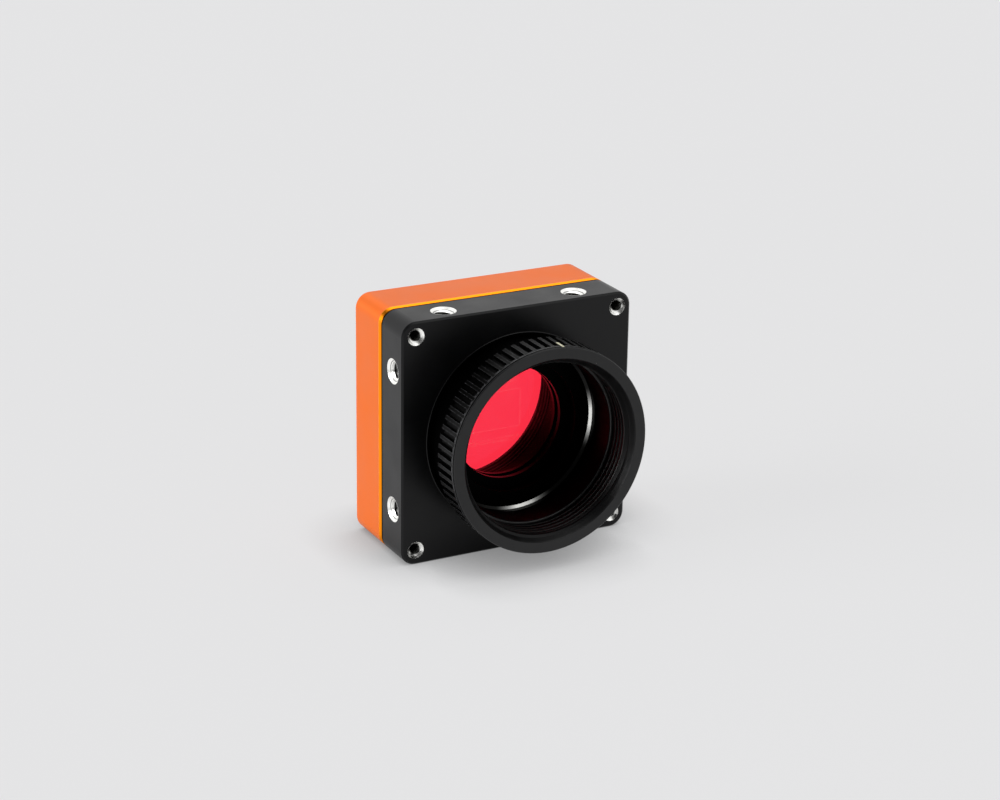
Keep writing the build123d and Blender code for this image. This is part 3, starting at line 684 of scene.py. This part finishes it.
def board_mask(colours):
    """Green solder mask over copper tracks."""
    material, tree, shader = finish("board_mask", 0.35, specular=0.5)
    place = coordinates(tree)
    track_cell = 1.3 * MILLIMETRE
    inputs = {"Vector": place, "Scale": 1 / track_cell}
    cells = node(tree, "ShaderNodeTexVoronoi", inputs, distance="MANHATTAN", feature="F1")
    tracks = less(tree, calc(tree, "FRACT", both(tree, cells.outputs["Distance"], 5.0)), 0.4)
    masked = mix_colour(tree, both(tree, tracks, 0.6), colours.board, grow(colours.board, 1.8))
    link(tree, masked, shader, "Base Color")
    bump(tree, shader, tracks, 0.02 * MILLIMETRE)
    return material


def dress(finish_used, *names):
    """Gives CAD nodes a finish on their objects, with the mesh left as it is."""
    for name in names:
        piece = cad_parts[name]
        for slot in piece.material_slots:
            slot.link = "OBJECT"
            slot.material = finish_used


# Threads

def ridge_points(core, mouth, cone, ridge, pitch, start, end, segments):
    """Rows of (radius, turn, depth) for the front foot, the crest twice and the rear foot of a helical ridge.

    The ridge stands on a plain wall of the core radius, and on the cone that leads into it from the mouth.
    """
    def wall(depth):
        return core + (mouth - core) * max(0.0, 1 - depth / cone) + FOOT_REACH

    steps = int((end - start) / pitch * segments)
    rows = []
    for step in range(steps + 1):
        turn = 2 * math.pi * step / segments
        depth = start + pitch * step / segments
        run_out = min(1.0, END_RISE * step / segments, END_RISE * (steps - step) / segments)
        crest = wall(depth) - ridge * run_out
        flank = HALF_RIDGE * pitch * run_out
        front, rear = depth - flank, depth + flank
        top = (crest, turn, depth)
        rows.append([(wall(front), turn, front), top, top, (wall(rear), turn, rear)])
    return rows


def add_ridge(mesh, mouth, inward, rows):
    """Adds a helical ridge in a hole with its mouth at a point and running inward along a direction."""
    inward = Vector(inward).normalized()
    side = inward.orthogonal().normalized()
    other = inward.cross(side)
    previous = None
    for row in rows:
        current = []
        for radius, turn, depth in row:
            out = side * math.cos(turn) + other * math.sin(turn)
            current.append(mesh.verts.new(Vector(mouth) + out * radius + inward * depth))
        if previous:
            mesh.faces.new((previous[0], previous[1], current[1], current[0]))
            mesh.faces.new((previous[2], previous[3], current[3], current[2]))
        previous = current


def piece_from(mesh, name, body, material):
    """A smooth-shaded piece made of a finished mesh, riding on a body."""
    data = bpy.data.meshes.new(name)
    mesh.to_mesh(data)
    mesh.free()
    for face in data.polygons:
        face.use_smooth = True
    piece = bpy.data.objects.new(name, data)
    bpy.context.scene.collection.objects.link(piece)
    data.materials.append(material)
    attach(piece, body)
    return piece


def side_hole_mouths(sizes):
    """Mouth and inward direction of the eight holes in the sides of the front housing."""
    depth = FRONT_FACE + sizes.hole_depth_place
    mouths = []
    for sign in (-1, 1):
        place = sign * sizes.hole_spacing / 2
        for side in (-1, 1):
            mouths.append(((place, depth, AXIS_HEIGHT + side * HALF_WIDTH), (0, 0, -side)))
            mouths.append(((side * HALF_WIDTH, depth, AXIS_HEIGHT + place), (-side, 0, 0)))
    return mouths


def corner_mouths(sizes):
    mouths = []
    for across in (-1, 1):
        for up in (-1, 1):
            x = across * sizes.corner_place
            z = AXIS_HEIGHT + up * sizes.corner_place
            mouths.append(((x, FRONT_FACE, z), (0, 1, 0)))
    return mouths


def lock_mouths(sizes):
    z = AXIS_HEIGHT + sizes.lock_height
    return [((side * sizes.lock_spacing / 2, BACK_FACE, z), (0, -1, 0)) for side in (-1, 1)]


# Operators

class CAMERA_BODY_OT_housing(bpy.types.Operator):
    """Give the front housing and the filter holder their black anodising"""
    bl_idname = "camera_body.housing"
    bl_label = "Finish front housing"

    def execute(self, context):
        scene = context.scene
        dress(black_housing(scene.finish_colours, scene.thread_sizes), "front_housing", "filter_holder")
        return {"FINISHED"}


class CAMERA_BODY_OT_ring(bpy.types.Operator):
    """Finish the lens ring and its index line, and cut its thread"""
    bl_idname = "camera_body.ring"
    bl_label = "Finish lens ring"

    def execute(self, context):
        scene = context.scene
        sizes = scene.thread_sizes
        black = black_ring(scene.finish_colours)
        dress(black, "lens_ring")
        paint = moulded("index_paint", scene.finish_colours.index_paint, 0.6, 0.2 * MILLIMETRE)
        dress(paint, "index_mark")
        mesh = bmesh.new()
        rows = ridge_points(
            sizes.lens_core, sizes.lens_mouth, sizes.lens_cone, sizes.lens_ridge, sizes.lens_pitch,
            sizes.lens_start, sizes.lens_end, LENS_FACETS)
        add_ridge(mesh, (0, SEAT_FACE, AXIS_HEIGHT), (0, 1, 0), rows)
        piece_from(mesh, "lens_thread", "ring", black)
        return {"FINISHED"}


class CAMERA_BODY_OT_holes(bpy.types.Operator):
    """Cut the threads of the side, corner and lock holes"""
    bl_idname = "camera_body.holes"
    bl_label = "Thread the holes"

    def execute(self, context):
        sizes = context.scene.thread_sizes
        bare = cut_thread(context.scene.finish_colours)
        mesh = bmesh.new()
        lead = sizes.hole_mouth - sizes.hole_core
        rows = ridge_points(
            sizes.hole_core, sizes.hole_mouth, lead, sizes.hole_ridge, sizes.hole_pitch,
            sizes.hole_start, sizes.hole_end, SIDE_FACETS)
        for mouth, inward in side_hole_mouths(sizes):
            add_ridge(mesh, mouth, inward, rows)
        piece_from(mesh, "side_hole_threads", "housing", bare)
        mesh = bmesh.new()
        lead = sizes.corner_mouth - sizes.corner_core
        rows = ridge_points(
            sizes.corner_core, sizes.corner_mouth, lead, sizes.corner_ridge, sizes.corner_pitch,
            sizes.corner_start, sizes.corner_end, CORNER_FACETS)
        for mouth, inward in corner_mouths(sizes):
            add_ridge(mesh, mouth, inward, rows)
        piece_from(mesh, "corner_hole_threads", "housing", bare)
        mesh = bmesh.new()
        for mouth, inward in lock_mouths(sizes):
            add_ridge(mesh, mouth, inward, rows)
        piece_from(mesh, "lock_hole_threads", "housing", bare)
        return {"FINISHED"}


class CAMERA_BODY_OT_filter(bpy.types.Operator):
    """Finish the snap ring, the gasket and the coated filter"""
    bl_idname = "camera_body.filter"
    bl_label = "Finish filter"

    def execute(self, context):
        colours = context.scene.finish_colours
        dress(spring_wire(colours), "snap_ring")
        dress(moulded("seal_rubber", (0.02, 0.02, 0.02, 1), 0.75, 0.1 * MILLIMETRE), "filter_gasket")
        dress(filter_coating(colours), "filter_glass")
        return {"FINISHED"}


class CAMERA_BODY_OT_sensor(bpy.types.Operator):
    """Finish the image sensor behind the filter"""
    bl_idname = "camera_body.sensor"
    bl_label = "Finish sensor"

    def execute(self, context):
        colours = context.scene.finish_colours
        dress(moulded("fired_ceramic", (0.05, 0.045, 0.04, 1), 0.55, 0.1 * MILLIMETRE), "sensor_package")
        dress(silicon(), "sensor_die")
        dress(clear("cover_glass", (0.96, 0.99, 0.98, 1)), "sensor_cover_glass")
        dress(bond_wire(colours), "bond_wires")
        dress(metal("gold", colours.gold, 0.2, 0.1 * MILLIMETRE), "data_socket_contacts")
        return {"FINISHED"}


class CAMERA_BODY_OT_boards(bpy.types.Operator):
    """Finish the circuit boards and what stands on them"""
    bl_idname = "camera_body.boards"
    bl_label = "Finish boards"

    def execute(self, context):
        colours = context.scene.finish_colours
        dress(board_mask(colours), "sensor_board", "interface_board")
        chip = moulded("chip_plastic", (0.02, 0.02, 0.022, 1), 0.6, 0.08 * MILLIMETRE)
        connector = moulded("connector_plastic", (0.03, 0.03, 0.03, 1), 0.45, 0.1 * MILLIMETRE)
        tinned = metal("tinned_metal", (0.78, 0.78, 0.76, 1), 0.3, 0.2 * MILLIMETRE)
        brass = metal("turned_brass", (0.8, 0.58, 0.25, 1), 0.3, 0.2 * MILLIMETRE)
        dress(chip, "processor_chip", "memory_chip")
        dress(connector, "board_header", "board_receptacle")
        dress(moulded("thermal_rubber", (0.2, 0.26, 0.36, 1), 0.8, 0.2 * MILLIMETRE), "thermal_pad")
        dress(moulded("ferrite", (0.07, 0.07, 0.07, 1), 0.7, 0.1 * MILLIMETRE), "power_inductors")
        dress(moulded("capacitor_ceramic", (0.42, 0.28, 0.16, 1), 0.5, 0.1 * MILLIMETRE), "capacitors")
        dress(tinned, "sensor_contacts", "clock_crystal", "io_socket_pins")
        dress(brass, "board_standoffs", "board_spacers")
        dress(metal("screw_steel", (0.6, 0.6, 0.6, 1), 0.3, 0.2 * MILLIMETRE), "board_screws")
        return {"FINISHED"}


class CAMERA_BODY_OT_back(bpy.types.Operator):
    """Finish the rear shell, its screws, sockets and status light"""
    bl_idname = "camera_body.back"
    bl_label = "Finish rear shell"

    def execute(self, context):
        colours = context.scene.finish_colours
        dress(orange_shell(colours), "rear_shell")
        dress(metal("black_oxide", (0.045, 0.045, 0.05, 1), 0.38, 0.2 * MILLIMETRE), "assembly_screws")
        dress(metal("nickel_plate", (0.7, 0.69, 0.66, 1), 0.24, 0.3 * MILLIMETRE), "data_socket_shell")
        socket = moulded("socket_plastic", (0.02, 0.02, 0.02, 1), 0.4, 0.1 * MILLIMETRE)
        dress(socket, "data_socket_tongue", "io_socket_shroud")
        dress(moulded("led_resin", (0.75, 0.75, 0.6, 1), 0.25, 0.2 * MILLIMETRE), "status_led")
        dress(clear("clear_plastic", (0.93, 0.96, 0.94, 1)), "light_pipe")
        return {"FINISHED"}


# Stage

def seen_rays(tree):
    """Masks of the rays that look at a surface: straight, and by way of gloss or glass."""
    path = node(tree, "ShaderNodeLightPath")
    mirrored = either(tree, path.outputs["Is Glossy Ray"], path.outputs["Is Transmission Ray"])
    return path.outputs["Is Camera Ray"], mirrored


def floor_finish(settings):
    """Pale floor: mostly its own even paleness, with the lamps' shadows and a soft shade at the foot."""
    material, tree, shader = finish("pale_floor", 0.9, specular=0.0)
    seen, mirrored = seen_rays(tree)
    mottle = noise(tree, coordinates(tree), 0.4, 2.0)
    pale = mix_colour(tree, mottle, grow(settings.floor_colour, 0.99), grow(settings.floor_colour, 1.01))
    link(tree, mix_colour(tree, 1 - settings.lamp_share, pale, (0, 0, 0, 1)), shader, "Base Color")
    open_share = node(
        tree, "ShaderNodeAmbientOcclusion", {"Distance": settings.contact_reach}, samples=8).outputs["AO"]
    shaded_glow = settings.contact_floor * settings.floor_glow
    own = both(tree, seen, mix_number(tree, open_share, shaded_glow, settings.floor_glow))
    shown = both(tree, mirrored, both(tree, open_share, settings.mirrored_floor))
    link(tree, pale, shader, "Emission Color")
    link(tree, either(tree, own, shown), shader, "Emission Strength")
    return material


def sky(settings):
    """Even pale surroundings, dimmer as a light than as a backdrop, with a dark side in front and above."""
    world = bpy.data.worlds.new("studio")
    bpy.context.scene.world = world
    world.use_nodes = True
    tree = world.node_tree
    background = tree.nodes["Background"]
    seen, mirrored = seen_rays(tree)
    background.inputs["Color"].default_value = (1, 1, 1, 1)
    towards = node(tree, "ShaderNodeTexCoord").outputs["Generated"]
    opening = Vector(settings.opening_place).normalized()
    match = node(tree, "ShaderNodeVectorMath", {0: towards, 1: opening}, operation="DOT_PRODUCT")
    dark = between(
        tree, match.outputs["Value"], math.cos(settings.opening_edge), math.cos(settings.opening_core))
    mirror = mix_number(tree, dark, settings.mirrored_light, settings.dark_opening)
    backdrop = mix_number(tree, seen, settings.sky_light, settings.floor_colour[0])
    link(tree, mix_number(tree, mirrored, backdrop, mirror), background, "Strength")


def soft_sun(name, towards, strength, spread):
    """A sun lamp that shines from a direction, with soft shadows."""
    data = bpy.data.lights.new(name, "SUN")
    data.energy = strength
    data.angle = spread
    lamp = bpy.data.objects.new(name, data)
    lamp.rotation_euler = Vector(towards).to_track_quat("Z", "Y").to_euler()
    bpy.context.scene.collection.objects.link(lamp)


def aim_camera(settings):
    """The camera, turned and tilted as the settings say."""
    turn, rise, roll = settings.azimuth, settings.elevation, settings.roll
    back = Vector((math.sin(turn) * math.cos(rise), -math.cos(turn) * math.cos(rise), math.sin(rise)))
    right = Vector((math.cos(turn), math.sin(turn), 0))
    up = back.cross(right)
    tilted_right = right * math.cos(roll) + up * math.sin(roll)
    tilted_up = up * math.cos(roll) - right * math.sin(roll)
    data = bpy.data.cameras.new("camera")
    data.sensor_fit = "HORIZONTAL"
    data.sensor_width = SENSOR_WIDTH
    data.lens = settings.focal_length
    data.clip_start = NEAREST
    data.clip_end = FURTHEST
    camera = bpy.data.objects.new("camera", data)
    place = Vector(settings.look_at) + back * settings.distance
    facing = Matrix((tilted_right, tilted_up, back)).transposed().to_4x4()
    camera.matrix_world = Matrix.Translation(place) @ facing
    bpy.context.scene.collection.objects.link(camera)
    bpy.context.scene.camera = camera


class CAMERA_BODY_OT_stage(bpy.types.Operator):
    """Lay the floor, set the lights and place the camera"""
    bl_idname = "camera_body.stage"
    bl_label = "Set the stage"

    def execute(self, context):
        settings = context.scene.stage_settings
        mesh = bmesh.new()
        bmesh.ops.create_grid(mesh, x_segments=8, y_segments=8, size=settings.floor_size / 2)
        data = bpy.data.meshes.new("floor")
        mesh.to_mesh(data)
        mesh.free()
        floor = bpy.data.objects.new("floor", data)
        data.materials.append(floor_finish(settings))
        context.scene.collection.objects.link(floor)
        sky(settings)
        soft_sun("side_light", settings.side_place, settings.side_light, settings.side_spread)
        soft_sun("top_light", settings.top_place, settings.top_light, settings.top_spread)
        aim_camera(settings)
        context.scene.view_settings.view_transform = "Standard"
        return {"FINISHED"}


# Panel and registration

class CAMERA_BODY_PT_panel(bpy.types.Panel):
    bl_idname = "CAMERA_BODY_PT_panel"
    bl_label = "Industrial camera"
    bl_space_type = "VIEW_3D"
    bl_region_type = "UI"
    bl_category = "Industrial camera"

    def draw(self, context):
        for step in STEPS:
            self.layout.operator(step.bl_idname)


STEPS = (
    CAMERA_BODY_OT_housing,
    CAMERA_BODY_OT_ring,
    CAMERA_BODY_OT_holes,
    CAMERA_BODY_OT_filter,
    CAMERA_BODY_OT_sensor,
    CAMERA_BODY_OT_boards,
    CAMERA_BODY_OT_back,
    CAMERA_BODY_OT_stage,
)
SETTINGS = {"thread_sizes": ThreadSizes, "finish_colours": FinishColours, "stage_settings": StageSettings}


def register():
    for name, group in SETTINGS.items():
        bpy.utils.register_class(group)
        setattr(bpy.types.Scene, name, bpy.props.PointerProperty(type=group))
    for step in STEPS:
        bpy.utils.register_class(step)
    bpy.utils.register_class(CAMERA_BODY_PT_panel)


def unregister():
    bpy.utils.unregister_class(CAMERA_BODY_PT_panel)
    for step in reversed(STEPS):
        bpy.utils.unregister_class(step)
    for name, group in SETTINGS.items():
        delattr(bpy.types.Scene, name)
        bpy.utils.unregister_class(group)


def main():
    register()
    bpy.ops.camera_body.housing()
    bpy.ops.camera_body.ring()
    bpy.ops.camera_body.holes()
    bpy.ops.camera_body.filter()
    bpy.ops.camera_body.sensor()
    bpy.ops.camera_body.boards()
    bpy.ops.camera_body.back()
    bpy.ops.camera_body.stage()


if __name__ == "__main__":
    main()
